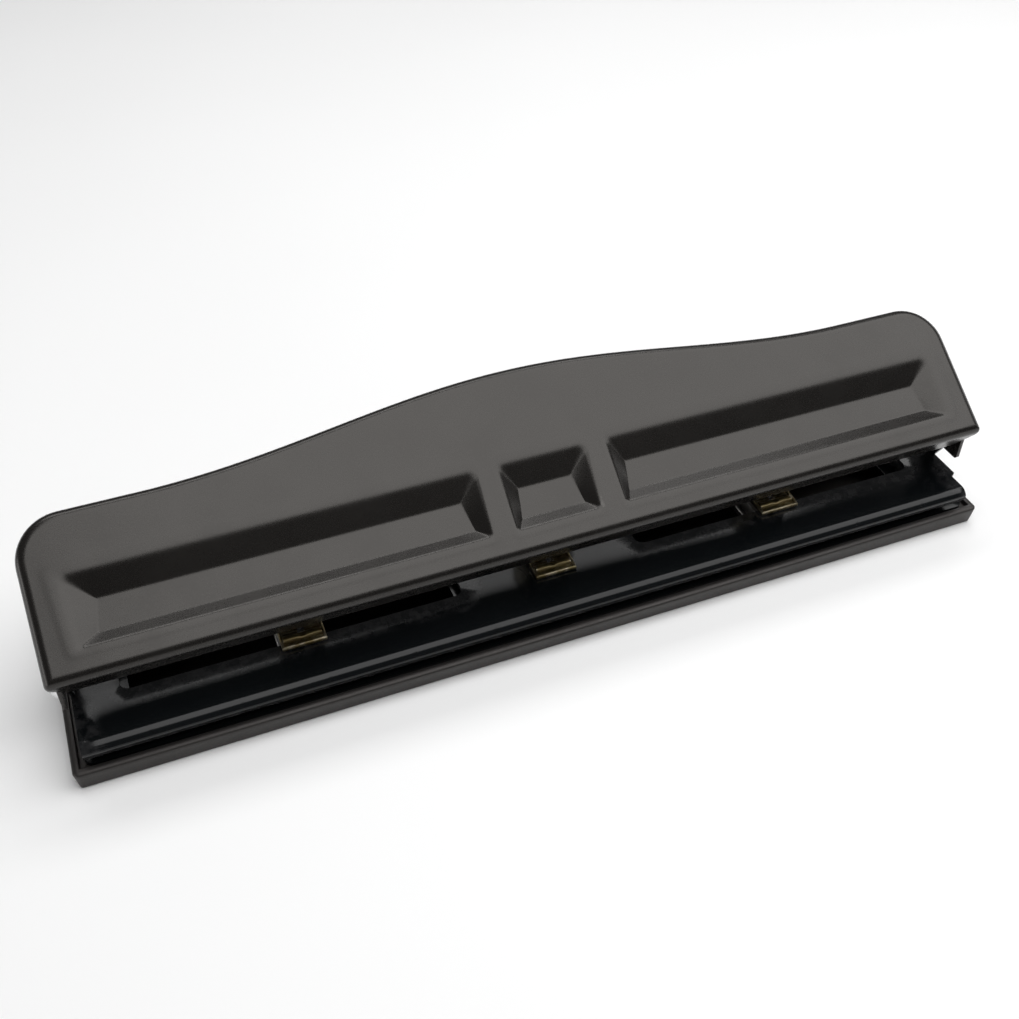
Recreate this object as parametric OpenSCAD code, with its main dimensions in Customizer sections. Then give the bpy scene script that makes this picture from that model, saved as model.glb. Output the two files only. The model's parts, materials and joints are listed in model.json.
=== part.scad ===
// Adjustable three-hole paper punch: a sheet-metal frame on a chip tray, three
// punch heads (the outer two slide), and one full-length stamped lever.
// X runs along the punch, the paper goes in from -Y, and Z = 0 is the table.

/* [Chip tray] */
// Length of the tray at its rim
tray_len = 262.4; // [260:0.2:270]
// Depth of the tray at its rim, front to back
tray_depth = 63.6; // [62:0.2:70]
// Height of the rim above the table
tray_h = 6.1; // [5.9:0.1:6.4]
// Thickness of the tray floor
tray_floor = 1; // [0.8:0.1:1.5]
// How far the bottom edge is set in from the rim
tray_draft = 0.9; // [0.2:0.1:2]

/* [Frame] */
// Thickness of the frame's sheet steel
sheet_t = 1.2; // [1:0.1:1.3]
// Length of the base plate
base_len = 256; // [250:1:256]
// Length of the guide plate
guide_len = 255.4; // [254:0.2:255.4]
// Height of the guide plate's top face above the table
guide_top = 13.1; // [12.8:0.1:13.5]
// Front of the rounded nose, where the paper goes in
nose_y = -30.8; // [-31:0.1:-28.4]
// Outer radius of the nose
nose_r = 3; // [2:0.2:3.4]
// Height of the mouth below the nose
mouth_h = 3.3; // [2.2:0.1:3.5]
// Height of the paper gap in the punch heads
throat_h = 2; // [1.6:0.1:2.2]

/* [Punch heads] */
// Distance from the middle hole to each outer hole
hole_pitch = 70; // [60:1:100]
// Nearest place of a sliding head to the middle
head_in = 33; // [33:1:36]
// Farthest place of a sliding head from the middle
head_out = 108; // [104:1:108]
// Diameter of the punched hole
hole_d = 7.1; // [6:0.1:7.1]
// Width of a head's bracket
head_w = 11.8; // [11.6:0.1:12]
// Height of a bracket above the guide plate
head_h = 15.2; // [14.8:0.1:15.4]

/* [Lever] */
// Length of the lever
lever_len = 262.4; // [260:0.2:263]
// Slope of the lever at rest
lever_tilt = 33.4; // [32:0.1:34]
// Height of the lever's panel at its ends, measured up the slope
lever_end_h = 41.8; // [38:0.2:44]
// Rise of the panel's crest above its ends
lever_crest = 9.3; // [0:0.1:12]
// Corner radius of the panel
lever_corner_r = 12; // [6:0.5:14]
// Depth of the front flange
flange_h = 10; // [9:0.5:10]
// Depth of the turned-down rim along the top and the sides
rim_h = 4; // [2:0.5:4.5]
// Thickness of the lever's sheet steel
lever_t = 1.1; // [0.9:0.1:1.2]
// Depth of the pressed channels
channel_depth = 2.4; // [2:0.1:2.6]

/* [Hidden] */
$fn = 48;
eps = 0.02;

// chip tray and base plate
seat_z = tray_h - 0.2 - sheet_t;        // the ledge that carries the base plate
base_top = seat_z + sheet_t;
base_depth = 58.4;
seat_gap = 0.2;
ledge_w = 1.4;
tray_corner_r = 1.6;
base_corner_r = 2.5;

// guide plate: nose, top, back wall, foot
guide_bottom = guide_top - sheet_t;
nose_bottom = base_top + mouth_h;        // lower edge of the nose
back_y = 8.4;                           // outer face of the back wall
bend_r = 1;                             // inner radius of a small bend
foot_end_y = 18;
slot_y0 = -15.5;
slot_y1 = 0.8;
slot_x0 = head_in - 7;                  // the slots run on past the heads' travel
slot_x1 = head_out + 8;
slot_r = 2.5;
nose_short = 1.65;                      // how far the nose stops short of the right end
centre_boss_r = 4.8;
head_rivet_y = [-13.2, -0.8];
head_rivet_r = 0.9;
foot_rivet_y = 14;
foot_rivet_x = [-118, -59, 0, 59, 118];
rivet_r = 1.5;

// lever: the pivot and the panel's lower front corner, in Y and Z
pivot = [-16, 22.5];
panel_corner = [-24.9, 30.2];
pivot_pin_r = 1.3;
pivot_fit = 0.06;
pivot_ear_r = 2.2;                      // of the guide plate's ears, clear of the flange
guide_ear_x = guide_len / 2 - sheet_t;  // inner face of the guide plate's ears
lever_ear_x = guide_len / 2 + 0.5;      // inner face of the lever's ears
lever_ear_t = 1.1;
bend_out_r = 2.4;
flange_set_in = 3.2;                    // how far the flange's lower ends are set in

// punch heads
pin_y = -7;
pin_r = hole_d / 2;
pin_fit = 0.06;
slide_gap = 0.15;                       // between a head and the guide plate
bracket_z = guide_top + slide_gap;
bracket_t = 0.9;
bracket_top = guide_top + head_h;
bracket_floor = bracket_z + bracket_t;
pan_y0 = -18.3;                         // front lip of the bracket
pan_h = 1.5;
cheek_y0 = -12.8;
cheek_y1 = -1.2;
yoke_top = guide_bottom - slide_gap;
yoke_bottom = seat_z - 0.8;
yoke_y0 = -16.8;
yoke_y1 = 7;
yoke_web_t = 1.2;
jaw_bottom = base_top + throat_h + 0.1;
pin_tip_z = 8.3;
pin_top_z = 36.3;
dome_r = 5;
clip_z = 25.6;
clip_t = 0.8;
clip_r = 4.7;
spring_r = 4.2;                         // mean radius of the coil
spring_wire = 0.8;
spring_turns = 6;
spring_z0 = bracket_floor + spring_wire / 2;
spring_z1 = clip_z - spring_wire / 2;

// ---------- helpers ----------

// The children, and their mirror image at the other end of the punch.
module both_ends() {
  children();
  mirror([1, 0, 0]) children();
}

// A rectangle with round corners, from p to q.
module round_rect(p, q, r) {
  for (x = [p.x + r, q.x - r], y = [p.y + r, q.y - r]) translate([x, y]) circle(r);
  translate([p.x + r, p.y]) square([q.x - p.x - 2 * r, q.y - p.y]);
  translate([p.x, p.y + r]) square([q.x - p.x, q.y - p.y - 2 * r]);
}

// A box from p to q.
module box(p, q) translate(p) cube(q - p);

// An outline drawn in Y and Z, extruded along X from x0 to x1.
module along_x(x0, x1) translate([x0, 0, 0]) rotate([90, 0, 90]) linear_extrude(x1 - x0) children();

// A round bar along X.
module bar_x(x0, x1, y, z, r) along_x(x0, x1) translate([y, z]) circle(r);

// A quarter bend of sheet round c; sy and sz say which quarter.
module bend(c, r_in, t, sy, sz) translate(c) intersection() {
  difference() {
    circle(r_in + t);
    circle(r_in);
  }
  scale_y = sy * (r_in + t + 1);
  scale_z = sz * (r_in + t + 1);
  polygon([[0, 0], [scale_y, 0], [scale_y, scale_z], [0, scale_z]]);
}

// A domed rivet head of radius r and height h, standing on Z = 0.
module dome(r, h) rotate_extrude() intersection() {
  ball_r = (r * r + h * h) / (2 * h);
  translate([0, h - ball_r]) circle(ball_r, $fn = 96);
  square([r, h]);
}

// ---------- chip tray ----------

module chip_tray() color([0.2, 0.19, 0.2]) {
  hx = tray_len / 2;
  hy = tray_depth / 2;
  seat = [base_len / 2 + seat_gap, base_depth / 2 + seat_gap];
  difference() {
    hull() {
      linear_extrude(eps)
        round_rect([-hx + tray_draft, -hy + tray_draft], [hx - tray_draft, hy - tray_draft], tray_corner_r);
      translate([0, 0, tray_h - eps]) linear_extrude(eps)
        round_rect([-hx, -hy], [hx, hy], tray_corner_r);
    }
    translate([0, 0, seat_z]) linear_extrude(tray_h) square(2 * seat, center = true);
    box([-seat.x + ledge_w, -seat.y + ledge_w, tray_floor], [seat.x - ledge_w, seat.y - ledge_w, tray_h]);
  }
}

// ---------- frame ----------

module base_plate() color([0.13, 0.1, 0.1]) difference() {
  translate([0, 0, seat_z]) linear_extrude(sheet_t) difference() {
    round_rect([-base_len / 2, -base_depth / 2], [base_len / 2, base_depth / 2], base_corner_r);
    both_ends()
      round_rect([slot_x0 + 0.6, yoke_y0 - 0.4], [slot_x1 - 1.6, yoke_y1 + 0.2], 0.8);
    round_rect([-head_w / 2 - 0.2, yoke_y0 - 0.4], [head_w / 2 + 0.2, yoke_y1 + 0.2], 0.8);
  }
  for (x = foot_rivet_x) translate([x, foot_rivet_y, seat_z - 1]) cylinder(r = rivet_r, h = 4);
}

// Cross-section of the guide plate in Y and Z.
module guide_profile() {
  top_c = [nose_y + nose_r, guide_top - nose_r];
  back_c = [back_y - sheet_t - bend_r, guide_bottom - bend_r];
  foot_c = [back_y + bend_r, base_top + sheet_t + bend_r];
  translate([nose_y, nose_bottom]) square([sheet_t, top_c.y - nose_bottom]);
  bend(top_c, nose_r - sheet_t, sheet_t, -1, 1);
  translate([top_c.x, guide_bottom]) square([back_c.x - top_c.x, sheet_t]);
  bend(back_c, bend_r, sheet_t, 1, 1);
  translate([back_y - sheet_t, foot_c.y]) square([sheet_t, back_c.y - foot_c.y]);
  bend(foot_c, bend_r, sheet_t, -1, -1);
  translate([foot_c.x, base_top]) square([foot_end_y - foot_c.x, sheet_t]);
}

// One upright ear of the guide plate, leaning forward to the pivot.
module guide_ear() along_x(guide_ear_x, guide_len / 2) difference() {
  hull() {
    translate(pivot) circle(pivot_ear_r, $fn = 32);
    translate([-12.4, guide_bottom]) square([10, sheet_t]);
  }
  translate(pivot) circle(pivot_pin_r + pivot_fit);
}

module guide_plate() color([0.07, 0.08, 0.09]) {
  hx = guide_len / 2;
  difference() {
    along_x(-hx, hx) guide_profile();
    translate([0, 0, guide_bottom - 1]) linear_extrude(5) {
      both_ends() round_rect([slot_x0, slot_y0], [slot_x1, slot_y1], slot_r);
      translate([0, pin_y]) circle(centre_boss_r + 0.2);
      for (y = head_rivet_y) translate([0, y]) circle(head_rivet_r + 0.02);
    }
    // the nose stops short of the right end
    translate([0, 0, base_top + 1.5]) linear_extrude(guide_top)
      polygon([[hx - nose_short, nose_y - 1], [hx - nose_short, -23.4], [hx, -22.5], [hx + 1, -22.5],
               [hx + 1, nose_y - 1]]);
    for (x = foot_rivet_x) translate([x, foot_rivet_y, base_top - 1]) cylinder(r = rivet_r, h = 4);
  }
  both_ends() guide_ear();
}

// The rivets that hold the guide plate's foot down on the base plate.
module frame_rivets() color([0.55, 0.55, 0.56])
  for (x = foot_rivet_x) translate([x, foot_rivet_y, 0]) {
    translate([0, 0, seat_z - 0.7]) cylinder(r = 2.4, h = 0.7);
    translate([0, 0, seat_z - 0.7]) cylinder(r = rivet_r - 0.02, h = 2 * sheet_t + 1.2);
    translate([0, 0, base_top + sheet_t]) dome(2.6, 1.1);
  }

// ---------- lever ----------

// Height of the panel's top edge at x: level ends and a rounded crest.
function crest(x) = lever_end_h + lever_crest / 2 * (1 + cos(180 * min(abs(x), 100) / 100));

// Outline of the panel in X and up the slope, inset by d.
module panel_outline(d) {
  hx = lever_len / 2;
  r = lever_corner_r;
  c = [hx - r, lever_end_h - r];
  corner = [for (a = [0:10:90]) c + (r - d) * [cos(a), sin(a)]];
  top = [for (x = [112:-7:-112]) [x, crest(x) - d]];
  far = [for (a = [90:10:180]) [-c.x, c.y] + (r - d) * [cos(a), sin(a)]];
  polygon(concat([[hx - d, d]], corner, top, far, [[-hx + d, d]]));
}

// A pressed channel: a pocket with sloping walls, from x0 to x1 at its floor.
module channel(x0, x1, end_wall) hull() {
  translate([x0 - end_wall, 7.4, 0]) cube([x1 - x0 + 2 * end_wall, 17.6, 0.6]);
  translate([x0, 10.6, -channel_depth]) cube([x1 - x0, 8, eps]);
}

module channels() {
  channel(-7.8, 7.8, 3.9);
  channel(22.6, 116.2, 3.8);
  mirror([1, 0, 0]) channel(22.6, 116.2, 3.8);
}

// The stamped panel, flange and rim in the panel's own frame.
module lever_shell() {
  hx = lever_len / 2;
  difference() {
    union() {
      difference() {
        translate([0, 0, -rim_h]) linear_extrude(rim_h) panel_outline(0);
        translate([0, 0, -rim_h - 1]) linear_extrude(rim_h + 1 - lever_t) panel_outline(lever_t);
      }
      box([-hx, 0, -flange_h], [hx, lever_t, -1]);
      along_x(-hx + lever_t, hx - lever_t) difference() {
        translate([lever_t, -bend_out_r]) square(bend_out_r - lever_t + eps);
        translate([bend_out_r, -bend_out_r]) circle(bend_out_r - lever_t);
      }
      translate([0, 0, -lever_t]) channels();
    }
    channels();
    along_x(-hx - 1, hx + 1) difference() {
      translate([-1, -bend_out_r]) square([bend_out_r + 1, bend_out_r + 1]);
      translate([bend_out_r, -bend_out_r]) circle(bend_out_r);
    }
    // the flange's ends run inward towards its lower edge
    translate([0, 3, 0]) rotate([90, 0, 0]) linear_extrude(5) both_ends()
      polygon([[hx, -rim_h], [hx + 2, -rim_h], [hx + 2, -flange_h - 1], [hx - flange_set_in, -flange_h - 1]]);
  }
}

// One ear of the lever, outside the guide plate's ear.
module lever_ear() along_x(lever_ear_x, lever_ear_x + lever_ear_t) difference() {
  polygon([[-20.7, 17.6], [-20.1, 17], [-10.5, 17], [-5, 23.5], [-5, 41.6], [-22.4, 30.1], [-20.7, 26]]);
  translate(pivot) circle(pivot_pin_r + 0.02);
}

module handle_lever() color([0.22, 0.21, 0.21]) {
  translate([0, panel_corner.x, panel_corner.y]) rotate([lever_tilt, 0, 0]) lever_shell();
  both_ends() lever_ear();
}

// Two headed pins through the ears, one at each end.
module pivot_pins() color([0.75, 0.75, 0.76]) both_ends() {
  head_x = lever_ear_x + lever_ear_t;
  bar_x(guide_ear_x - 1.6, head_x + 0.6, pivot.x, pivot.y, pivot_pin_r);
  translate([head_x, pivot.x, pivot.y]) rotate([0, 90, 0]) dome(4.2, 2.4);
}

// Push-on clips at the pins' inner ends.
module pivot_clips() color([0.6, 0.6, 0.62]) both_ends()
  along_x(guide_ear_x - 1.1, guide_ear_x - 0.3) translate(pivot) difference() {
    circle(pivot_ear_r);
    circle(pivot_pin_r + 0.02);
    translate([-0.5, -4]) square([1, 4]);
  }

// ---------- punch heads ----------

// Plated bracket: a shallow pan in front, two cheeks and a bridge that guides the pin.
module bracket(x) color([0.62, 0.55, 0.33]) translate([x, 0, 0]) difference() {
  hw = head_w / 2;
  union() {
    box([-hw, pan_y0, bracket_z], [hw, 6, bracket_floor]);
    box([-hw, pan_y0, bracket_z], [hw, pan_y0 + 0.8, bracket_z + pan_h]);
    both_ends() {
      box([hw - 0.7, pan_y0, bracket_z], [hw, cheek_y0 + 1, bracket_z + pan_h]);
      box([hw - bracket_t, cheek_y0, bracket_z], [hw, cheek_y1, bracket_top]);
    }
    box([-hw, cheek_y0, bracket_top - 1], [hw, cheek_y1, bracket_top]);
  }
  translate([0, pin_y, bracket_z - 1]) cylinder(r = pin_r + pin_fit, h = head_h + 3);
  for (y = head_rivet_y) translate([0, y, bracket_z - 1]) cylinder(r = head_rivet_r + 0.02, h = 3);
}

// C-shaped yoke: guides the pin above the paper and carries the die below it.
module yoke(x, boss_hw) color([0.45, 0.44, 0.43]) translate([x, 0, 0]) difference() {
  hw = head_w / 2;
  web_y = yoke_y1 - yoke_web_t;
  union() {
    along_x(-hw, hw)
      polygon([[yoke_y0, yoke_bottom], [yoke_y1, yoke_bottom], [yoke_y1, yoke_top - 1],
               [yoke_y1 - 1, yoke_top], [yoke_y0, yoke_top], [yoke_y0, jaw_bottom],
               [web_y, jaw_bottom], [web_y, base_top], [yoke_y0, base_top]]);
    if (boss_hw > 0) box([-boss_hw, slot_y0 + 0.3, yoke_top - 1], [boss_hw, slot_y1 - 0.3, bracket_z]);
    else translate([0, pin_y, yoke_top - 1]) cylinder(r = centre_boss_r, h = bracket_z - yoke_top + 1);
  }
  translate([0, pin_y, yoke_bottom - 1]) cylinder(r = pin_r + pin_fit, h = 20);
  for (y = head_rivet_y) translate([0, y, jaw_bottom - 0.1]) cylinder(r = head_rivet_r + 0.02, h = 8);
}

// Locking strip that lies in the pan, with a bead to push on.
module latch(x) color([0.66, 0.6, 0.38]) translate([x, 0, 0]) {
  hw = head_w / 2 - 0.9;
  box([-hw, pan_y0 + 1.1, bracket_floor], [hw, cheek_y0 - 1.8, bracket_floor + 0.35]);
  intersection() {
    bar_x(-hw, hw, pan_y0 + 2.5, bracket_floor + 0.1, 0.9);
    box([-hw, pan_y0, bracket_floor], [hw, 0, bracket_floor + 3]);
  }
}

// Two rivets that clamp the bracket to the yoke through the slot.
module head_rivets(x) color([0.6, 0.6, 0.6]) translate([x, 0, 0])
  for (y = head_rivet_y) translate([0, y, 0]) {
    translate([0, 0, jaw_bottom]) cylinder(r = head_rivet_r, h = bracket_floor - jaw_bottom + 0.2);
    translate([0, 0, bracket_floor]) dome(1.2, 0.4);
  }

// Hardened pin with a domed top that the lever bears on.
module punch_pin(x) color([0.72, 0.72, 0.73]) translate([x, pin_y, 0]) difference() {
  intersection() {
    translate([0, 0, pin_tip_z]) cylinder(r = pin_r, h = pin_top_z - pin_tip_z + 1);
    union() {
      translate([0, 0, pin_tip_z]) cylinder(r = pin_r + 1, h = pin_top_z - dome_r - pin_tip_z);
      translate([0, 0, pin_top_z - dome_r]) sphere(dome_r);
    }
  }
  // groove for the clip
  translate([0, 0, clip_z]) difference() {
    cylinder(r = pin_r + 1, h = clip_t);
    translate([0, 0, -1]) cylinder(r = pin_r - 0.4, h = clip_t + 2);
  }
  // the tip's cutting edge: a shallow cross groove makes two high points
  rotate([90, 0, 0]) translate([0, pin_tip_z - 5.4, -5]) cylinder(r = 6, h = 10);
}

// Spring clip in the pin's groove.
module pin_clip(x) color([0.35, 0.35, 0.36]) translate([x, pin_y, clip_z]) linear_extrude(clip_t)
  difference() {
    circle(clip_r);
    circle(pin_r - 0.4);
    translate([-1.4, -clip_r - 1]) square([2.8, clip_r + 1]);
  }

// Return spring: a wire swept along a helix between the bracket and the clip.
function coil_point(i, n) = let (a = 360 * spring_turns * i / n)
  [spring_r * cos(a), spring_r * sin(a), spring_z0 + (spring_z1 - spring_z0) * i / n];

module spring(x, steps = 120, around = 8) color([0.5, 0.5, 0.52]) translate([x, pin_y, 0]) {
  rings = [for (i = [0:steps]) let (p = coil_point(i, steps), a = 360 * spring_turns * i / steps)
    for (k = [0:around - 1]) let (b = 360 * k / around)
      p + spring_wire / 2 * (cos(b) * [cos(a), sin(a), 0] + sin(b) * [0, 0, 1])];
  sides = [for (i = [0:steps - 1], k = [0:around - 1]) let (q = (k + 1) % around)
    [i * around + k, i * around + q, (i + 1) * around + q, (i + 1) * around + k]];
  ends = [[for (k = [around - 1:-1:0]) k], [for (k = [0:around - 1]) steps * around + k]];
  polyhedron(rings, concat(sides, ends), convexity = 10);
}

// ---------- nodes ----------

chip_tray();
base_plate();
guide_plate();
frame_rivets();
handle_lever();
pivot_pins();
pivot_clips();
bracket(-hole_pitch);  // left_bracket
yoke(-hole_pitch, 4.6);  // left_yoke
latch(-hole_pitch);  // left_latch
head_rivets(-hole_pitch);  // left_rivets
punch_pin(-hole_pitch);  // left_punch_pin
pin_clip(-hole_pitch);  // left_pin_clip
spring(-hole_pitch);  // left_spring
bracket(0);  // centre_bracket
yoke(0, 0);  // centre_yoke
latch(0);  // centre_latch
head_rivets(0);  // centre_rivets
punch_pin(0);  // centre_punch_pin
pin_clip(0);  // centre_pin_clip
spring(0);  // centre_spring
bracket(hole_pitch);  // right_bracket
yoke(hole_pitch, 4.6);  // right_yoke
latch(hole_pitch);  // right_latch
head_rivets(hole_pitch);  // right_rivets
punch_pin(hole_pitch);  // right_punch_pin
pin_clip(hole_pitch);  // right_pin_clip
spring(hole_pitch);  // right_spring
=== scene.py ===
"""The looks of an adjustable three-hole punch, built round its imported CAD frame.

X runs along the punch, Y from the paper side to the back, and Z up. Shapes are worked out in
millimetres and turned into metres when a piece is made.
"""

import json
import math

import bmesh
import bpy
import numpy as np
from mathutils import Matrix, Vector
from mathutils.geometry import delaunay_2d_cdt


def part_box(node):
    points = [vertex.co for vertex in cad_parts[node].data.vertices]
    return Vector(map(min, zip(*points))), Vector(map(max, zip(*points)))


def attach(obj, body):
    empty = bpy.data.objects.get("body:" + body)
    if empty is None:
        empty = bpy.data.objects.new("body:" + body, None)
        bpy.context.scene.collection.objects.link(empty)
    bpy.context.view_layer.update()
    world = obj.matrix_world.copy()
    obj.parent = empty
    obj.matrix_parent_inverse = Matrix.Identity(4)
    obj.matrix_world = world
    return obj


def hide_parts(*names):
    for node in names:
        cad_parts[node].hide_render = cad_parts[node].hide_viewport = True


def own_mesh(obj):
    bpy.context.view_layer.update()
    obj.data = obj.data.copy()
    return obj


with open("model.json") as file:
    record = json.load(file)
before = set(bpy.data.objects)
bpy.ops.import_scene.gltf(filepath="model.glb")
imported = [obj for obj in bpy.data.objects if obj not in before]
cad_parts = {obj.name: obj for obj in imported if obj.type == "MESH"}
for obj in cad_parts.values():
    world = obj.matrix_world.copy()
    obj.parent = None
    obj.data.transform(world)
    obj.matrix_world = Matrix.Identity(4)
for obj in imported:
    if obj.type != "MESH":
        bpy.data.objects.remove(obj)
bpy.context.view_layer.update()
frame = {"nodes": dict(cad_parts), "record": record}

MM = 0.001


def box_mm(node):
    """Lowest and highest corner of a CAD node, in millimetres."""
    low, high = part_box(node)
    return low / MM, high / MM


# ---------- sizes, from the frame where it gives them ----------

_, LEVER_HIGH = box_mm("handle_lever")
GUIDE_LOW, GUIDE_HIGH = box_mm("guide_plate")
_, TRAY_HIGH = box_mm("chip_tray")
BASE_LOW, BASE_HIGH = box_mm("base_plate")
CLIP_LOW, CLIP_HIGH = box_mm("pivot_clips")
_, PINS_HIGH = box_mm("pivot_pins")

PIVOT = ((CLIP_LOW.y + CLIP_HIGH.y) / 2, (CLIP_LOW.z + CLIP_HIGH.z) / 2)

# lever: its panel's lower front corner in Y and Z, and its slope
PANEL_CORNER = (-24.9, 30.2)
LEVER_TILT = math.radians(33.4)
LEVER_HALF = LEVER_HIGH.x
LEVER_END_H = 41.8
LEVER_CREST = 9.3
LEVER_TOP_R = 12.0
LEVER_FOOT_R = 1.3
LEVER_BEND_R = 2.5
LEVER_T = 1.1
RIM_DEPTH = 4.0
FLANGE_DEPTH = 10.0
FLANGE_SET_IN = 3.2
POCKET_DEPTH = 2.4
BEAD_HEIGHT = 0.05
BEAD_REACH = 2.3
BEAD_WIDTH = 0.75
EAR_GAP = 0.5

# guide plate
SHEET_T = 1.2
GUIDE_HALF = GUIDE_HIGH.x
GUIDE_TOP = 13.1
NOSE_Y = GUIDE_LOW.y
NOSE_R = 3.0
NOSE_BOTTOM = BASE_HIGH.z + 3.3
NOSE_SHORT = 1.65
NOSE_TURN = math.radians(62)
NOSE_CURL_R = 0.9
NOSE_CURL = math.radians(14)
BACK_Y = 8.4
BEND_R = 1.0
SLOT = (26.0, 116.0, -15.5, 0.8)
SLOT_R = 2.5
FOOT_RIVETS = (-118, -59, 0, 59, 118)
RIVET_IN = 4
RIVET_BORE_R = 1.52
MARK_PITCH = 22.2

# pivot pins
PIN_START = GUIDE_HALF - SHEET_T - 1.1
PIN_R = 1.3
PIN_HEAD_R = 4.2

# chip tray
TRAY_BOW = 0.6
TRAY_DRAFT = 0.6
TRAY_SEAT = 1.95
TRAY_RIM = (1.6, 0.8)
TRAY_FLOOR = 1.0

# punch heads
HEADS = {"left": -70.0, "centre": 0.0, "right": 70.0}
HEAD_HALF = 5.9
PIN_Y = -7.0
PAN_H = 1.5
BRACKET_T = 0.9
CHEEK_Y = (-12.8, -1.2)
SPRING_TURNS = 6


# ---------- mesh helpers ----------

def add_object(name, mesh):
    """An object for a finished mesh, in the scene."""
    obj = bpy.data.objects.new(name, mesh)
    bpy.context.scene.collection.objects.link(obj)
    return obj


def piece_from(name, points, faces, material):
    """A mesh object from points in millimetres."""
    mesh = bpy.data.meshes.new(name)
    mesh.from_pydata([[c * MM for c in p] for p in points], [], faces)
    mesh.update()
    mesh.materials.append(material)
    return add_object(name, mesh)


def weld(obj, distance=0.004):
    """Joins points that fall together."""
    bm = bmesh.new()
    bm.from_mesh(obj.data)
    bmesh.ops.remove_doubles(bm, verts=bm.verts, dist=distance * MM)
    bmesh.ops.dissolve_degenerate(bm, edges=bm.edges, dist=distance * MM / 4)
    bm.to_mesh(obj.data)
    bm.free()


def thicken(obj, thickness):
    """Gives an open sheet its thickness, on the side away from its normals."""
    mod = obj.modifiers.new("thickness", "SOLIDIFY")
    mod.thickness = thickness * MM
    mod.offset = -1
    mod.use_even_offset = True
    mod.use_rim = True


def soften(obj, width, segments=2, angle=50):
    """Rounds the edges that are sharper than an angle in degrees."""
    mod = obj.modifiers.new("soft_edges", "BEVEL")
    mod.width = width * MM
    mod.segments = segments
    mod.limit_method = "ANGLE"
    mod.angle_limit = math.radians(angle)


def apply_modifiers(obj):
    """Bakes an object's modifiers into its mesh."""
    graph = bpy.context.evaluated_depsgraph_get()
    mesh = bpy.data.meshes.new_from_object(obj.evaluated_get(graph))
    obj.modifiers.clear()
    old = obj.data
    obj.data = mesh
    mesh.name = obj.name
    bpy.data.meshes.remove(old)


def shade(obj, angle=32):
    """Smooth shading that keeps edges over an angle in degrees sharp."""
    obj.data.shade_smooth()
    obj.data.set_sharp_from_angle(angle=math.radians(angle))


def join(name, parts):
    """One object from several, keeping each part's shell closed."""
    bm = bmesh.new()
    for part in parts:
        bm.from_mesh(part.data)
    mesh = bpy.data.meshes.new(name)
    bm.to_mesh(mesh)
    bm.free()
    for material in parts[0].data.materials:
        mesh.materials.append(material)
    for part in parts:
        bpy.data.objects.remove(part)
    return add_object(name, mesh)


def rounded(corners, radii, arc=6, sides=8):
    """Points along a polygon whose corners are arcs.

    Radii and sides are each one number, or one for each corner.
    """
    count = len(corners)
    radii = [radii] * count if isinstance(radii, (int, float)) else radii
    sides = [sides] * count if isinstance(sides, int) else sides
    arcs = []
    for i, corner in enumerate(corners):
        p = Vector(corner)
        back = (Vector(corners[i - 1]) - p).normalized()
        on = (Vector(corners[(i + 1) % count]) - p).normalized()
        half = back.angle(on) / 2
        centre = p + (back + on).normalized() * radii[i] / math.sin(half)
        start = p + back * radii[i] / math.tan(half) - centre
        turn = start.angle_signed(p + on * radii[i] / math.tan(half) - centre)
        points = []
        for k in range(arc + 1):
            a = -turn * k / arc
            points.append(centre + Matrix.Rotation(a, 2) @ start)
        arcs.append(points)
    outline = []
    for i in range(count):
        outline += arcs[i]
        first = arcs[i][-1]
        last = arcs[(i + 1) % count][0]
        outline += [first.lerp(last, k / sides[i]) for k in range(1, sides[i])]
    return [tuple(p) for p in outline]


def circle(x, y, r, count=32):
    """Points round a circle."""
    return [(x + r * math.cos(2 * math.pi * k / count), y + r * math.sin(2 * math.pi * k / count))
            for k in range(count)]


def inside(points, loop):
    """Which points of an array lie inside a closed loop."""
    x, y = points[:, 0], points[:, 1]
    found = np.zeros(len(points), bool)
    ends = np.array(loop)
    starts = np.roll(ends, 1, axis=0)
    for (xa, ya), (xb, yb) in zip(starts, ends):
        if ya != yb:
            crosses = (ya > y) != (yb > y)
            found ^= crosses & (x < (xb - xa) * (y - ya) / (yb - ya) + xa)
    return found


def gap_to(points, loop):
    """Distance from each point to the nearest corner of a loop."""
    ends = np.array(loop)
    far = np.full(len(points), 1e9)
    for end in ends:
        far = np.minimum(far, np.hypot(points[:, 0] - end[0], points[:, 1] - end[1]))
    return far


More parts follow.
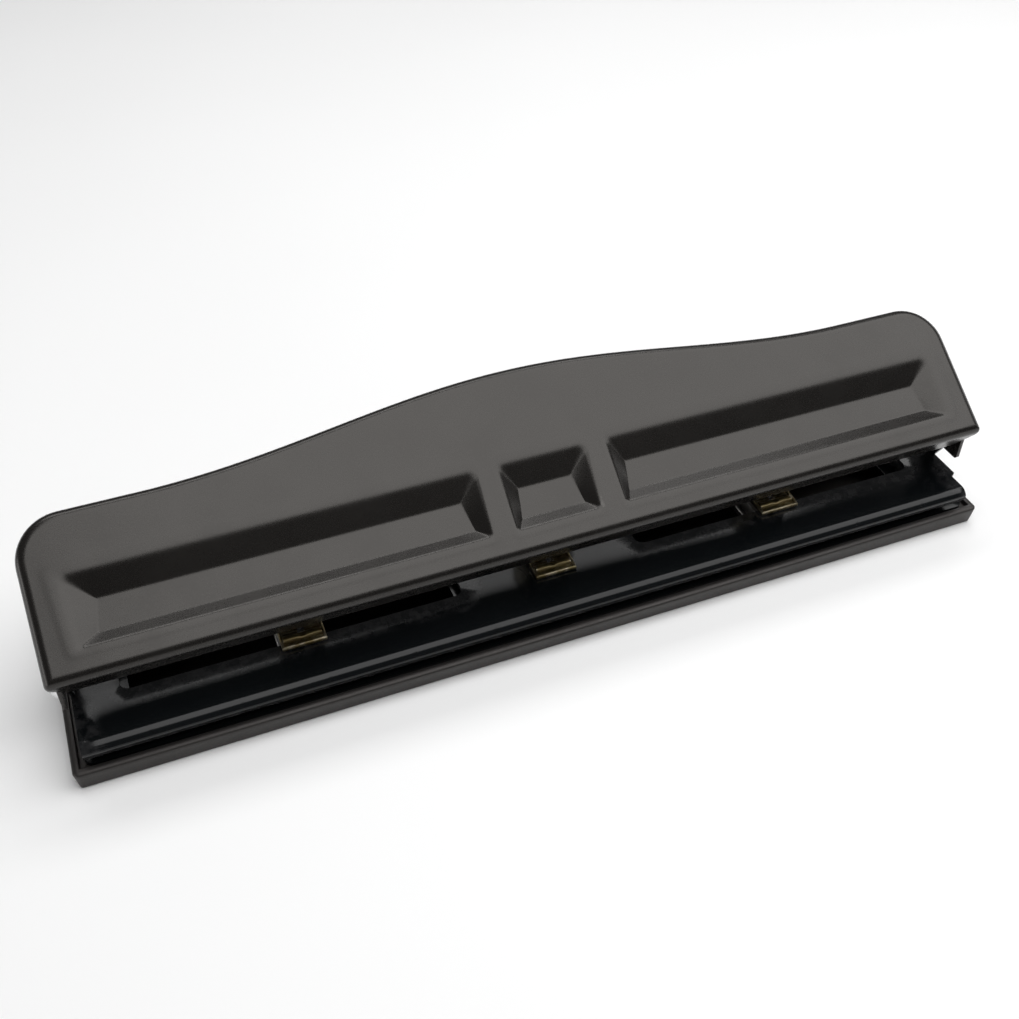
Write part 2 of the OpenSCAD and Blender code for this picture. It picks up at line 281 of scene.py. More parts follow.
def fill(outer, holes=(), step=3.0, creases=()):
    """Flat triangles between an outer loop and its holes, with inner points a step apart.

    Creases are open lines of points that the triangles' edges follow.
    """
    points = []
    edges = []
    for loop in (outer, *holes):
        first = len(points)
        points += [Vector(p) for p in loop]
        edges += [(first + i, first + (i + 1) % len(loop)) for i in range(len(loop))]
    for line in creases:
        first = len(points)
        points += [Vector(p) for p in line]
        edges += [(first + i, first + i + 1) for i in range(len(line) - 1)]
    box = np.array(outer)
    xs = np.arange(box[:, 0].min() + step / 2, box[:, 0].max(), step)
    ys = np.arange(box[:, 1].min() + step / 2, box[:, 1].max(), step)
    inner = np.array([(x + (j % 2) * step / 2, y) for j, y in enumerate(ys) for x in xs]).reshape(-1, 2)
    keep = inside(inner, outer) & (gap_to(inner, outer) > 0.6 * step)
    for hole in holes:
        keep &= ~inside(inner, hole) & (gap_to(inner, hole) > 0.6 * step)
    for line in creases:
        keep &= gap_to(inner, line) > 0.6 * step
    points += [Vector(p) for p in inner[keep]]
    made, _, faces, *_ = delaunay_2d_cdt(points, edges, [], 1, 1e-5)
    flat = np.array([tuple(p) for p in made])
    middles = np.array([flat[list(f)].mean(axis=0) for f in faces])
    kept = inside(middles, outer)
    for hole in holes:
        kept &= ~inside(middles, hole)
    return [tuple(p) for p in made], [list(f) for f, k in zip(faces, kept) if k]


class Sheet:
    """Points and faces of a surface, gathered part by part."""

    def __init__(self):
        self.points = []
        self.faces = []

    def add(self, points, faces):
        """Puts in a part's points and faces."""
        first = len(self.points)
        self.points += points
        self.faces += [[first + i for i in face] for face in faces]

    def rings(self, rings, closed=True):
        """Quads between rings of equal length."""
        count = len(rings[0])
        faces = []
        for i in range(len(rings) - 1):
            for k in range(count if closed else count - 1):
                n = (k + 1) % count
                faces.append([i * count + k, i * count + n, (i + 1) * count + n, (i + 1) * count + k])
        self.add([p for ring in rings for p in ring], faces)

    def cap(self, ring):
        """One face across a flat ring."""
        self.add(list(ring), [list(range(len(ring)))])

    def piece(self, name, material, up=None):
        """The surface as a welded object; up is a point that its normals face."""
        obj = piece_from(name, self.points, self.faces, material)
        weld(obj)
        bm = bmesh.new()
        bm.from_mesh(obj.data)
        loose = [v for v in bm.verts if not v.link_faces]
        bmesh.ops.delete(bm, geom=loose, context="VERTS")
        bmesh.ops.recalc_face_normals(bm, faces=bm.faces)
        if up is not None:
            target = Vector(up) * MM
            near = min(bm.faces, key=lambda f: (f.calc_center_median() - target).length)
            if near.normal.dot(target - near.calc_center_median()) < 0:
                bmesh.ops.reverse_faces(bm, faces=bm.faces)
        bm.to_mesh(obj.data)
        bm.free()
        return obj


def plate_x(name, outline, x0, x1, material, holes=(), edge=0.2):
    """A flat plate across X, cut from an outline in Y and Z."""
    points, faces = fill(outline, holes, step=4.0)
    sheet = Sheet()
    sheet.add([(max(x0, x1), y, z) for y, z in points], faces)
    obj = sheet.piece(name, material, up=(max(x0, x1) + 50, points[0][0], points[0][1]))
    thicken(obj, abs(x1 - x0))
    apply_modifiers(obj)
    soften(obj, edge, 2, 50)
    apply_modifiers(obj)
    return obj


# ---------- materials ----------

class Nodes:
    """A short way to write a material's node tree."""

    def __init__(self, name):
        self.material = bpy.data.materials.new(name)
        self.material.use_nodes = True
        self.tree = self.material.node_tree
        self.tree.nodes.clear()
        self.out = self.add("ShaderNodeOutputMaterial")
        self.shader = self.add("ShaderNodeBsdfPrincipled")
        self.link(self.shader.outputs[0], self.out.inputs[0])
        self.place = self.add("ShaderNodeTexCoord").outputs["Object"]

    def add(self, kind, **settings):
        """A new node with its settings."""
        node = self.tree.nodes.new(kind)
        for key, value in settings.items():
            setattr(node, key, value)
        return node

    def link(self, a, b):
        self.tree.links.new(a, b)

    def noise(self, scale, detail=3.0, rough=0.55, stretch=(1, 1, 1)):
        """Noise of a scale in waves per metre, stretched along the axes."""
        mapping = self.add("ShaderNodeMapping")
        mapping.inputs["Scale"].default_value = stretch
        node = self.add("ShaderNodeTexNoise")
        node.inputs["Scale"].default_value = scale
        node.inputs["Detail"].default_value = detail
        node.inputs["Roughness"].default_value = rough
        self.link(self.place, mapping.inputs[0])
        self.link(mapping.outputs[0], node.inputs["Vector"])
        return node.outputs[0]

    def spread(self, value, low, high, to_low=0.0, to_high=1.0):
        """Takes low..high of a value to another range, held at its ends."""
        node = self.add("ShaderNodeMapRange")
        node.inputs["From Min"].default_value = low
        node.inputs["From Max"].default_value = high
        node.inputs["To Min"].default_value = to_low
        node.inputs["To Max"].default_value = to_high
        self.link(value, node.inputs["Value"])
        return node.outputs[0]

    def math(self, operation, a, b):
        """A sum or product of two numbers or sockets."""
        node = self.add("ShaderNodeMath", operation=operation)
        for socket, value in zip(node.inputs, (a, b)):
            if isinstance(value, (int, float)):
                socket.default_value = value
            else:
                self.link(value, socket)
        return node.outputs[0]

    def mix(self, factor, a, b):
        """Between two colours, or a colour and a socket."""
        node = self.add("ShaderNodeMix", data_type="RGBA")
        self.link(factor, node.inputs[0])
        for socket, value in ((node.inputs[6], a), (node.inputs[7], b)):
            if isinstance(value, tuple):
                socket.default_value = (*value, 1.0)
            else:
                self.link(value, socket)
        return node.outputs[2]

    def edges(self, low=0.52, high=0.6):
        """One on convex edges and nothing on flats, broken up by noise."""
        sharp = self.spread(self.add("ShaderNodeNewGeometry").outputs["Pointiness"], low, high)
        patchy = self.spread(self.noise(420, 4), 0.38, 0.62)
        return self.math("MULTIPLY", sharp, patchy)

    def bump(self, height, depth, normal=None):
        """A bump of a depth in millimetres."""
        node = self.add("ShaderNodeBump")
        node.inputs["Strength"].default_value = 1.0
        node.inputs["Distance"].default_value = depth * MM
        self.link(height, node.inputs["Height"])
        if normal is not None:
            self.link(normal, node.inputs["Normal"])
        return node.outputs[0]

    def finish(self, colour, roughness, normal=None, **sockets):
        """Links the shader's sockets, sets the plain ones, and hands over the material."""
        self.link(colour, self.shader.inputs["Base Color"])
        self.link(roughness, self.shader.inputs["Roughness"])
        if normal is not None:
            self.link(normal, self.shader.inputs["Normal"])
        for key, value in sockets.items():
            self.shader.inputs[key.replace("_", " ")].default_value = value
        return self.material


def lever_paint():
    """Satin charcoal paint with a very fine grain, worn a little on its edges."""
    n = Nodes("lever_paint")
    cloud = n.spread(n.noise(28, 3), 0.35, 0.65)
    colour = n.mix(cloud, (0.0058, 0.0051, 0.0046), (0.0082, 0.0073, 0.0066))
    colour = n.mix(n.edges(), colour, (0.05, 0.048, 0.046))
    grain = n.noise(2600, 2, 0.5)
    rough = n.math("ADD", n.spread(n.noise(90, 4), 0.3, 0.7, 0.25, 0.30),
                   n.spread(grain, 0.3, 0.7, -0.02, 0.02))
    normal = n.bump(grain, 0.002, n.bump(n.noise(240, 2), 0.003))
    return n.finish(colour, rough, normal, Specular_IOR_Level=0.49, Specular_Tint=(1, 0.96, 0.92, 1))


def frame_enamel():
    """Gloss black enamel with very faint scuffs."""
    n = Nodes("frame_enamel")
    cloud = n.spread(n.noise(45, 3), 0.35, 0.65)
    colour = n.mix(cloud, (0.0030, 0.0038, 0.0044), (0.0038, 0.0048, 0.0054))
    colour = n.mix(n.edges(0.58, 0.7), colour, (0.02, 0.02, 0.021))
    scuff = n.spread(n.noise(160, 5, 0.65, (0.25, 1, 1)), 0.45, 0.75, 0.0, 0.008)
    rough = n.math("ADD", scuff, n.spread(n.noise(60, 2), 0.3, 0.7, 0.155, 0.165))
    normal = n.bump(n.noise(300, 3), 0.002)
    return n.finish(colour, rough, normal, Specular_IOR_Level=0.27)


def tray_plastic():
    """Matt charcoal moulded plastic."""
    n = Nodes("tray_plastic")
    cloud = n.spread(n.noise(60, 4), 0.3, 0.7)
    colour = n.mix(cloud, (0.0100, 0.0087, 0.0083), (0.0134, 0.0116, 0.0112))
    colour = n.mix(n.edges(), colour, (0.06, 0.058, 0.058))
    grain = n.noise(1900, 3, 0.6)
    rough = n.math("ADD", n.spread(grain, 0.3, 0.7, 0.4, 0.5),
                   n.spread(n.noise(120, 4), 0.4, 0.7, 0.0, 0.08))
    normal = n.bump(grain, 0.012)
    return n.finish(colour, rough, normal, Specular_Tint=(1, 0.95, 0.92, 1))


def yellow_zinc():
    """Yellow passivated plating: brassy, with greener and browner patches and rolling lines."""
    n = Nodes("yellow_zinc")
    patch = n.spread(n.noise(230, 4, 0.6, (0.5, 1, 1)), 0.36, 0.64)
    colour = n.mix(patch, (0.15, 0.11, 0.048), (0.28, 0.225, 0.115))
    green = n.spread(n.noise(130, 2), 0.5, 0.72, 0.0, 0.6)
    colour = n.mix(green, colour, (0.19, 0.18, 0.09))
    colour = n.mix(n.edges(0.52, 0.57), colour, (0.6, 0.55, 0.42))
    lines = n.noise(900, 3, 0.6, (0.08, 1, 1))
    rough = n.math("ADD", n.spread(lines, 0.3, 0.7, 0.26, 0.4), n.spread(patch, 0.0, 1.0, 0.05, 0.0))
    normal = n.bump(lines, 0.008)
    return n.finish(colour, rough, normal, Metallic=1.0)


def steel(name, dark, light, low, high, stretch=(1, 1, 0.1)):
    """Bare or plated steel with fine drawing lines."""
    n = Nodes(name)
    stain = n.spread(n.noise(180, 4), 0.35, 0.65)
    colour = n.mix(stain, dark, light)
    lines = n.noise(1500, 3, 0.6, stretch)
    rough = n.spread(lines, 0.3, 0.7, low, high)
    normal = n.bump(lines, 0.005)
    return n.finish(colour, rough, normal, Metallic=1.0)


MATERIALS = {
    "lever_paint": lever_paint(),
    "frame_enamel": frame_enamel(),
    "tray_plastic": tray_plastic(),
    "yellow_zinc": yellow_zinc(),
    "yoke_steel": steel("yoke_steel", (0.28, 0.27, 0.25), (0.42, 0.41, 0.4), 0.3, 0.45),
    "bare_steel": steel("bare_steel", (0.6, 0.6, 0.6), (0.74, 0.74, 0.75), 0.16, 0.28),
    "spring_steel": steel("spring_steel", (0.2, 0.2, 0.2), (0.34, 0.34, 0.35), 0.25, 0.4),
}


def finish_piece(obj, body, slot, *nodes):
    """Sets what a piece rides on and hides the CAD nodes that it stands for; the slot argument is not used.
    """
    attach(obj, body)
    if nodes:
        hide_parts(*nodes)


# ---------- lever ----------

def on_lever(x, s, h):
    """A point given along the lever, up its slope and out of its face."""
    y = PANEL_CORNER[0] + s * math.cos(LEVER_TILT) - h * math.sin(LEVER_TILT)
    z = PANEL_CORNER[1] + s * math.sin(LEVER_TILT) + h * math.cos(LEVER_TILT)
    return x, y, z


def crest(x):
    """Height of the lever's top edge: level ends and a rounded crest."""
    return LEVER_END_H + LEVER_CREST / 2 * (1 + math.cos(math.pi * min(abs(x), 100) / 100))


def lever_outline(inset):
    """The lever's outline, anticlockwise from its left foot, set in by a distance."""
    corner = max(LEVER_FOOT_R - inset, 0.15)
    foot = LEVER_HALF - inset - corner
    low = inset + corner
    top = LEVER_HALF - LEVER_TOP_R
    side = LEVER_END_H - LEVER_TOP_R
    points = [(-foot + 2 * foot * k / 130, inset) for k in range(131)]

    def arc(x, s, r, start, count):
        for k in range(1, count + 1):
            a = math.radians(start + 90 * k / count)
            points.append((x + r * math.cos(a), s + r * math.sin(a)))

    arc(foot, low, corner, -90, 6)
    rise = [low + (side - low) * k / 14 for k in range(1, 15)]
    points += [(LEVER_HALF - inset, s) for s in rise]
    arc(top, side, LEVER_TOP_R - inset, 0, 14)
    across = [top - 2 * top * k / 118 for k in range(1, 118)]
    points += [(x, crest(x) - inset) for x in across]
    points.append((-top, LEVER_END_H - inset))
    arc(-top, side, LEVER_TOP_R - inset, 90, 14)
    points += [(-LEVER_HALF + inset, s) for s in reversed([low] + rise[:-1])]
    arc(-foot, low, corner, 180, 6)
    return points[:-1]


# shares of the way from a pocket's floor to its mouth, and on over the bead outside it
POCKET_STEPS = (-0.14, -0.08, -0.04, 0.0, 0.04, 0.08, 0.2, 0.35, 0.5, 0.65, 0.78, 0.86, 0.93, 1.0,
                1.07, 1.14, 1.22, 1.3, 1.4, 1.5, 1.62, 1.75)

# corner radii of the pockets' mouths; corners of each pocket's floor and mouth, anticlockwise, as
# places along the lever and up its slope; and how many steps its long sides have
POCKET_RADII = (1.2, 1.2, 2.4, 1.8)
POCKETS = (
    (((-116.9, 10.6), (-21.9, 10.6), (-23.6, 18.6), (-115.4, 18.6)),
     ((-121.8, 7.2), (-18.5, 7.3), (-17.6, 25.5), (-122.3, 25.5)), 44),
    (((-9.0, 10.6), (9.0, 10.6), (7.4, 18.6), (-7.4, 18.6)),
     ((-11.9, 7.0), (11.9, 7.2), (13.6, 25.4), (-11.8, 25.4)), 8),
    (((21.9, 10.6), (116.9, 10.6), (115.4, 18.6), (23.6, 18.6)),
     ((19.2, 7.0), (121.9, 7.2), (122.6, 25.5), (19.2, 25.5)), 44),
)


def eased(t, blend_low, blend_high):
    """A straight rise from 0 to 1 whose two ends are rounded."""
    if t < -blend_low:
        return 0.0
    if t < blend_low:
        return (t + blend_low) ** 2 / (4 * blend_low)
    if t < 1 - blend_high:
        return t
    if t < 1 + blend_high:
        return 1 - (1 + blend_high - t) ** 2 / (4 * blend_high)
    return 1.0


def pocket_height(t):
    """Height above the panel at a share of the way up a pocket's wall, with a low bead outside it."""
    wall = POCKET_DEPTH * (eased(t, 0.06, 0.16) - 1)
    bead = 0.0
    if 1 < t < 1 + BEAD_WIDTH:
        bead = BEAD_HEIGHT * math.sin(math.pi * (t - 1) / BEAD_WIDTH) ** 2
    return wall + bead


def pocket_corner(floor, mouth, t):
    """A corner at a share of the way from floor to mouth; the bead keeps clear of the next pocket's."""
    corner = Vector(floor).lerp(Vector(mouth), t)
    if t > 1 and abs(mouth[0]) < 30:
        reach = BEAD_REACH * (t - 1) / BEAD_WIDTH
        corner.x = mouth[0] + max(-reach, min(reach, corner.x - mouth[0]))
    return corner


def pocket_ring(floor, mouth, t, along):
    """One ring of a pocket, at a share of the way from its floor to its mouth."""
    corners = [pocket_corner(a, b, t) for a, b in zip(floor, mouth)]
    radii = [max(0.12, 0.25 + (r - 0.25) * max(t, 0.0) ** 1.3) for r in POCKET_RADII]
    return rounded(corners, radii, 7, [along, 8, along, 8])


def lever_panel():
    """The pressed outer skin: panel, pockets, rolled edges and front flange."""
    sheet = Sheet()
    holes = []
    for floor, mouth, along in POCKETS:
        flat = [pocket_ring(floor, mouth, t, along) for t in POCKET_STEPS]
        rings = [[on_lever(x, s, pocket_height(t)) for x, s in ring] for ring, t in zip(flat, POCKET_STEPS)]
        sheet.rings(rings)
        points, faces = fill(flat[0], step=3.0)
        sheet.add([on_lever(x, s, -POCKET_DEPTH) for x, s in points], faces)
        holes.append(flat[-1])
    support = lever_outline(LEVER_BEND_R + 0.3)
    points, faces = fill(support, holes, step=2.6)
    sheet.add([on_lever(x, s, 0) for x, s in points], faces)
    bend = [[on_lever(x, s, 0) for x, s in support]]
    for k in range(9):
        a = math.radians(90 * k / 8)
        ring = lever_outline(LEVER_BEND_R * (1 - math.sin(a)))
        bend.append([on_lever(x, s, LEVER_BEND_R * (math.cos(a) - 1)) for x, s in ring])
    edge = lever_outline(0)
    for depth in (3.0, 3.5, RIM_DEPTH):
        bend.append([on_lever(x, s, -depth) for x, s in edge])
    sheet.rings(bend)
    foot = LEVER_HALF - LEVER_FOOT_R
    rows = []
    for k in range(7):
        depth = RIM_DEPTH + (FLANGE_DEPTH - RIM_DEPTH) * k / 6
        shrink = 1 - FLANGE_SET_IN * k / 6 / foot
        rows.append([on_lever(x * shrink, 0, -depth) for x, s in edge[:131]])
    sheet.rings(rows, closed=False)
    skin = sheet.piece("lever_skin", MATERIALS["lever_paint"], up=on_lever(50, 30, 40))
    thicken(skin, LEVER_T)
    apply_modifiers(skin)
    soften(skin, 0.18, 2, 55)
    apply_modifiers(skin)
    return skin


def lever_ear(side):
    """One side plate of the lever, which carries a pivot pin."""
    inner = GUIDE_HALF + EAR_GAP
    corners = [(-20.7, 17.0), (-10.5, 17.0), (-5.0, 23.5), (-5.0, 41.2), (-21.9, 30.2), (-20.7, 26.0)]
    outline = rounded(corners, [0.9, 3.0, 3.0, 2.0, 0.6, 1.5], 5, 3)
    x0, x1 = sorted((side * inner, side * (inner + LEVER_T)))
    return plate_x("lever_ear", outline, x0, x1, MATERIALS["lever_paint"])


def make_lever():
    """The pressed skin with its two ears."""
    lever = join("lever_shell", [lever_panel(), lever_ear(-1), lever_ear(1)])
    shade(lever, 30)
    finish_piece(lever, "lever", "lever_paint", "handle_lever")


# ---------- guide plate ----------

def guide_path():
    """The guide plate's outer face in Y and Z, as lines and arcs from its nose's lower edge to its foot.

    Each part has a kind, a start or a centre, a direction or a radius with its first angle and its
    turning sense, and a length.
    """
    tuck = NOSE_R - NOSE_CURL_R
    curl_c = (NOSE_Y + NOSE_CURL_R, GUIDE_TOP - NOSE_R + tuck * math.cos(NOSE_TURN))
    top_c = (curl_c[0] + tuck * math.sin(NOSE_TURN), GUIDE_TOP - NOSE_R)
    back_c = (BACK_Y - SHEET_T - BEND_R, GUIDE_TOP - SHEET_T - BEND_R)
    foot_c = (BACK_Y + BEND_R, BASE_HIGH.z + SHEET_T + BEND_R)
    back_r = BEND_R + SHEET_T
    quarter = math.pi / 2
    up = (-math.sin(NOSE_CURL), math.cos(NOSE_CURL))
    lip = (curl_c[1] - NOSE_CURL_R * math.sin(NOSE_CURL) - NOSE_BOTTOM) / up[1]
    lip_y = curl_c[0] - NOSE_CURL_R * math.cos(NOSE_CURL) - up[0] * lip
    curl = quarter - NOSE_TURN + NOSE_CURL
    return [
        ("line", (lip_y, NOSE_BOTTOM), up, lip),
        ("arc", curl_c, (NOSE_CURL_R, math.pi + NOSE_CURL, -1), NOSE_CURL_R * curl),
        ("arc", top_c, (NOSE_R, quarter + NOSE_TURN, -1), NOSE_R * NOSE_TURN),
        ("line", (top_c[0], GUIDE_TOP), (1, 0), back_c[0] - top_c[0]),
        ("arc", back_c, (back_r, quarter, -1), back_r * quarter),
        ("line", (BACK_Y, back_c[1]), (0, -1), back_c[1] - foot_c[1]),
        ("arc", foot_c, (BEND_R, math.pi, 1), BEND_R * quarter),
        ("line", (foot_c[0], foot_c[1] - BEND_R), (1, 0), GUIDE_HIGH.y - foot_c[0]),
    ]


GUIDE_PATH = guide_path()
GUIDE_RUN = sum(part[-1] for part in GUIDE_PATH)


def on_guide(w, lift=0.0):
    """Y and Z at a distance along the guide plate's section, lifted off its face."""
    for kind, at, how, length in GUIDE_PATH:
        if w <= length:
            break
        w -= length
    else:
        w += length
    if kind == "line":
        y, z = at[0] + how[0] * w, at[1] + how[1] * w
        return y - how[1] * lift, z + how[0] * lift
    radius, start, way = how
    a = start + way * w / radius
    reach = radius - way * lift
    return at[0] + reach * math.cos(a), at[1] + reach * math.sin(a)


def guide_at(y):
    """Distance along the section where its rounded top or its top face is at y."""
    centre = GUIDE_PATH[2][1][0]
    curled = GUIDE_PATH[0][-1] + GUIDE_PATH[1][-1]
    if y < centre:
        return curled + NOSE_R * (NOSE_TURN - math.asin((centre - y) / NOSE_R))
    return curled + GUIDE_PATH[2][-1] + y - centre


def guide_blank():
    """Outline of the guide plate laid flat, and its holes."""
    half = GUIDE_HALF
    corners = [(-half, 0), (half - NOSE_SHORT, 0), (half - NOSE_SHORT, guide_at(-23.4)),
               (half, guide_at(-22.4)), (half, GUIDE_RUN), (-half, GUIDE_RUN)]
    outline = rounded(corners, [0.4, 0.4, 0.3, 0.4, 1.5, 1.5], 4, [90, 4, 1, 14, 60, 18])
    x0, x1, y0, y1 = SLOT
    holes = []
    for side in (-1, 1):
        a, b = sorted((side * x0, side * x1))
        slot = [(a, guide_at(y0)), (b, guide_at(y0)), (b, guide_at(y1)), (a, guide_at(y1))]
        holes.append(rounded(slot, SLOT_R, 8, [40, 6, 40, 6]))
    holes.append(circle(0, guide_at(PIN_Y), 5.0))
    for y in (-13.2, -0.8):
        holes.append(circle(0, guide_at(y), 0.92, 16))
    for x in FOOT_RIVETS:
        holes.append(circle(x, GUIDE_RUN - RIVET_IN, RIVET_BORE_R, 20))
    return outline, holes


def guide_creases():
    """Lines across the blank where it bends, close together round each arc."""
    lines = []
    w = 0
    for kind, _, how, length in GUIDE_PATH:
        if kind == "arc":
            count = 8 if how[0] > 2.5 else 6
            for k in range(count + 1):
                lines.append(w + length * k / count)
            lines += [w - 0.35, w + length + 0.35]
        w += length
    half = GUIDE_HALF + 0.5
    return [[(-half + 2 * half * k / 56, line) for k in range(57)] for line in lines]


def index_marks():
    """Small raised rings along the nose, for setting the paper."""
    sheet = Sheet()
    w = guide_at(NOSE_Y + 0.55)
    for k in range(-5, 6):
        if k:
            ring_on_guide(sheet, MARK_PITCH * k, w, 0.62, 0.11)
    return sheet


def ring_on_guide(sheet, x, w, radius, wire):
    """A thin raised ring that follows the guide plate's face."""
    rings = []
    for i in range(20):
        a = 2 * math.pi * i / 20
        ring = []
        for j in range(6):
            b = 2 * math.pi * j / 6
            r = radius + wire * math.cos(b)
            y, z = on_guide(w + r * math.sin(a), wire * math.sin(b))
            ring.append((x + r * math.cos(a), y, z))
        rings.append(ring)
    rings.append(rings[0])
    sheet.rings(rings)


def guide_ear(side):
    """One upright ear of the guide plate."""
    r = 2.2
    y, z = PIVOT
    turns = [math.radians(a) for a in range(10, 201, 10)]
    arc = [(y + r * math.cos(a), z + r * math.sin(a)) for a in turns]
    outline = [(-2.4, GUIDE_TOP - SHEET_T)] + arc + [(-12.4, GUIDE_TOP - SHEET_T)]
    inner = GUIDE_HALF - SHEET_T
    x0, x1 = sorted((side * inner, side * GUIDE_HALF))
    bore = circle(y, z, PIN_R + 0.06, 20)
    return plate_x("guide_ear", outline, x0, x1, MATERIALS["frame_enamel"], [bore], 0.15)


def make_guide():
    """The folded guide plate with its slots, ears and index marks."""
    outline, holes = guide_blank()
    points, faces = fill(outline, holes, step=4.0, creases=guide_creases())
    sheet = Sheet()
    sheet.add([(x, *on_guide(w)) for x, w in points], faces)
    skin = sheet.piece("guide_skin", MATERIALS["frame_enamel"], up=(20, -20, 60))
    thicken(skin, SHEET_T)
    apply_modifiers(skin)
    soften(skin, 0.22, 2, 55)
    apply_modifiers(skin)
    marks = index_marks().piece("marks", MATERIALS["frame_enamel"])
    guide = join("guide_sheet", [skin, guide_ear(-1), guide_ear(1), marks])
    shade(guide, 30)
    finish_piece(guide, "frame", "frame_enamel", "guide_plate")


def make_base():
    """The plate below the paper gap, with openings for the dies."""
    low, high = BASE_LOW, BASE_HIGH
    corners = [(low.x, low.y), (high.x, low.y), (high.x, high.y), (low.x, high.y)]
    outline = rounded(corners, 2.5, 8, [60, 14, 60, 14])
    yoke_low, yoke_high = box_mm("left_yoke")
    y0 = yoke_low.y - 0.4
    y1 = yoke_high.y + 0.2
    reach = HEAD_HALF + 0.2
    holes = []
    for x0, x1 in ((-SLOT[1] + 1.6, -SLOT[0] - 0.6), (-reach, reach), (SLOT[0] + 0.6, SLOT[1] - 1.6)):
        sides = max(2, round((x1 - x0) / 4))
        holes.append(rounded([(x0, y0), (x1, y0), (x1, y1), (x0, y1)], 0.8, 4, [sides, 6, sides, 6]))
    for x in FOOT_RIVETS:
        holes.append(circle(x, GUIDE_HIGH.y - RIVET_IN, RIVET_BORE_R, 20))
    points, faces = fill(outline, holes, step=4.0)
    sheet = Sheet()
    sheet.add([(x, y, high.z) for x, y in points], faces)
    base = sheet.piece("base_sheet", MATERIALS["frame_enamel"], up=(20, -20, 60))
    thicken(base, SHEET_T)
    apply_modifiers(base)
    soften(base, 0.15, 2, 55)
    apply_modifiers(base)
    shade(base, 30)
    finish_piece(base, "frame", "frame_enamel", "base_plate")


def make_pivot_pins():
    """The two headed pins that the lever turns on."""
    head = GUIDE_HALF + EAR_GAP + LEVER_T
    height = PINS_HIGH.x - head
    ball = (PIN_HEAD_R ** 2 + height ** 2) / (2 * height)
    rim = math.asin(PIN_HEAD_R / ball)
    section = [(PIN_R - 0.2, PIN_START - 0.5), (PIN_R, PIN_START - 0.3), (PIN_R, head),
               (PIN_HEAD_R - 0.1, head)]
    for k in range(13):
        a = rim * (1 - k / 12)
        section.append((max(ball * math.sin(a), 0.03), PINS_HIGH.x - ball * (1 - math.cos(a))))
    sheet = Sheet()
    for side in (-1, 1):
        rings = []
        for r, x in section:
            rings.append([(side * x, y, z) for y, z in circle(*PIVOT, r, 40)])
        sheet.rings(rings)
        sheet.cap(rings[0])
        sheet.cap(rings[-1])
    pins = sheet.piece("pin_pair", MATERIALS["bare_steel"])
    shade(pins, 40)
    finish_piece(pins, "lever", "bare_steel", "pivot_pins")


# ---------- chip tray ----------

def tray_ring(inset, z, bow=0.0, radius=1.7):
    """A level outline of the tray, set in from its rim; bow moves its front edge's middle forward."""
    hx = TRAY_HIGH.x - inset
    hy = TRAY_HIGH.y - inset
    corners = [(-hx, -hy), (hx, -hy), (hx, hy), (-hx, hy)]
    points = rounded(corners, max(radius - inset, 0.4), 8, [60, 14, 60, 14])
    ring = []
    for x, y in points:
        if y < 0:
            y -= bow * (1 - (x / hx) ** 2) * min(1.0, -y / hy) ** 6
        ring.append((x, y, z))
    return ring


def make_tray():
    """The chip tray: drafted walls, a crowned rim, and a ledge that the frame sits on."""
    top = TRAY_HIGH.z
    draft = TRAY_DRAFT
    seat = TRAY_SEAT
    ledge = TRAY_HIGH.y + BASE_LOW.y + 2.0
    ledge_z = BASE_LOW.z
    crown, rise = TRAY_RIM
    wall = 0.8
    rings = [tray_ring(draft + 1.2, 0), tray_ring(draft + 0.7, 0), tray_ring(draft + 0.3, 0.12),
             tray_ring(draft + 0.08, 0.4), tray_ring(draft, wall, 0.05)]
    for k in range(1, 6):
        share = k / 5
        z = wall + (top - wall - rise) * share
        rings.append(tray_ring(draft * (1 - share), z, TRAY_BOW * share))
    for k in range(1, 10):
        a = math.radians(10 * k)
        rings.append(tray_ring(crown * (1 - math.cos(a)), top - rise + rise * math.sin(a), TRAY_BOW))
    rings += [tray_ring(seat - 0.2, top, TRAY_BOW),
              tray_ring(seat - 0.07, top - 0.07, TRAY_BOW), tray_ring(seat, top - 0.25, TRAY_BOW),
              tray_ring(seat, ledge_z, TRAY_BOW), tray_ring(ledge - 0.2, ledge_z),
              tray_ring(ledge, ledge_z - 0.2), tray_ring(ledge, TRAY_FLOOR + 0.5),
              tray_ring(ledge + 0.15, TRAY_FLOOR + 0.15), tray_ring(ledge + 0.5, TRAY_FLOOR),
              tray_ring(ledge + 2, TRAY_FLOOR)]
    sheet = Sheet()
    sheet.rings(rings)
    sheet.cap(rings[0])
    sheet.cap(rings[-1])
    tray = sheet.piece("tray_shell", MATERIALS["tray_plastic"])
    shade(tray, 40)
    finish_piece(tray, "tray", "tray_plastic", "chip_tray")


# ---------- punch heads ----------

def make_head(name, x):
    """The plated bracket and the latch strip of one punch head."""
    body = "frame" if name == "centre" else f"{name}_head"
    low, high = box_mm(f"{name}_bracket")
    half = (high.x - low.x) / 2
    parts = [pan(x, half, low, high), latch_strip(x, half, low)]
    for part, label, node in zip(parts, ("bracket_sheet", "latch_strip"), ("bracket", "latch")):
        part.name = f"{name}_{label}"
        part.data.name = part.name
        shade(part, 35)
        finish_piece(part, body, "yellow_zinc", f"{name}_{node}")


def block(points_yz, x0, x1, edge=0.15):
    """A prism along X with softened edges."""
    sheet = Sheet()
    sheet.rings([[(x0, y, z) for y, z in points_yz], [(x1, y, z) for y, z in points_yz]])
    sheet.cap([(x0, y, z) for y, z in points_yz])
    sheet.cap([(x1, y, z) for y, z in points_yz])
    obj = sheet.piece("block", MATERIALS["yellow_zinc"])
    soften(obj, edge, 2, 40)
    apply_modifiers(obj)
    return obj


